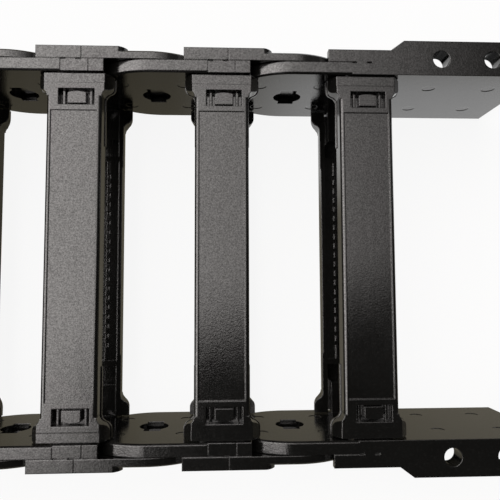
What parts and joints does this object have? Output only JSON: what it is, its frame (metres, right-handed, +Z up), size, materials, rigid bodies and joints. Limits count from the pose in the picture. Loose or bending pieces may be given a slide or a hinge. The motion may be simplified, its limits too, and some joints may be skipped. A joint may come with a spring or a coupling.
{
  "type": "cable drag chain",
  "caption": "Hinged plastic cable carrier with snap-in crossbars and a flanged end bracket at each end; bends one way into a U.",
  "frame": {"origin": "middle of the chain's footprint, on the surface that the chain lies on", "axes": "+X along the chain towards the moving end, +Y across the chain, +Z up"},
  "size_m": [0.56, 0.1964, 0.063],
  "materials": {
    "side_plate": "fine grained, glass-filled nylon",
    "crossbar": "fine grained, glass-filled nylon"
  },
  "bodies": {
    "fixed_end": {"fixed_end_left_plate": "side_plate", "fixed_end_right_plate": "side_plate", "fixed_end_upper_bar": "crossbar", "fixed_end_lower_bar": "crossbar"},
    "link_1": {"link_1_left_plate": "side_plate", "link_1_right_plate": "side_plate", "link_1_upper_bar": "crossbar", "link_1_lower_bar": "crossbar"},
    "link_2": {"link_2_left_plate": "side_plate", "link_2_right_plate": "side_plate", "link_2_upper_bar": "crossbar", "link_2_lower_bar": "crossbar"},
    "link_3": {"link_3_left_plate": "side_plate", "link_3_right_plate": "side_plate", "link_3_upper_bar": "crossbar", "link_3_lower_bar": "crossbar"},
    "link_4": {"link_4_left_plate": "side_plate", "link_4_right_plate": "side_plate", "link_4_upper_bar": "crossbar", "link_4_lower_bar": "crossbar"},
    "link_5": {"link_5_left_plate": "side_plate", "link_5_right_plate": "side_plate", "link_5_upper_bar": "crossbar", "link_5_lower_bar": "crossbar"},
    "moving_end": {"moving_end_left_plate": "side_plate", "moving_end_right_plate": "side_plate", "moving_end_upper_bar": "crossbar", "moving_end_lower_bar": "crossbar"}
  },
  "joints": [
    {"name": "pivot_1", "type": "hinge", "parent": "fixed_end", "child": "link_1", "pos_m": [-0.165, 0, 0.0315], "axis": [0, -1, 0], "range_deg": [0, 30]},
    {"name": "pivot_2", "type": "hinge", "parent": "link_1", "child": "link_2", "pos_m": [-0.099, 0, 0.0315], "axis": [0, -1, 0], "range_deg": [0, 30]},
    {"name": "pivot_3", "type": "hinge", "parent": "link_2", "child": "link_3", "pos_m": [-0.033, 0, 0.0315], "axis": [0, -1, 0], "range_deg": [0, 30]},
    {"name": "pivot_4", "type": "hinge", "parent": "link_3", "child": "link_4", "pos_m": [0.033, 0, 0.0315], "axis": [0, -1, 0], "range_deg": [0, 30]},
    {"name": "pivot_5", "type": "hinge", "parent": "link_4", "child": "link_5", "pos_m": [0.099, 0, 0.0315], "axis": [0, -1, 0], "range_deg": [0, 30]},
    {"name": "pivot_6", "type": "hinge", "parent": "link_5", "child": "moving_end", "pos_m": [0.165, 0, 0.0315], "axis": [0, -1, 0], "range_deg": [0, 30]}
  ]
}
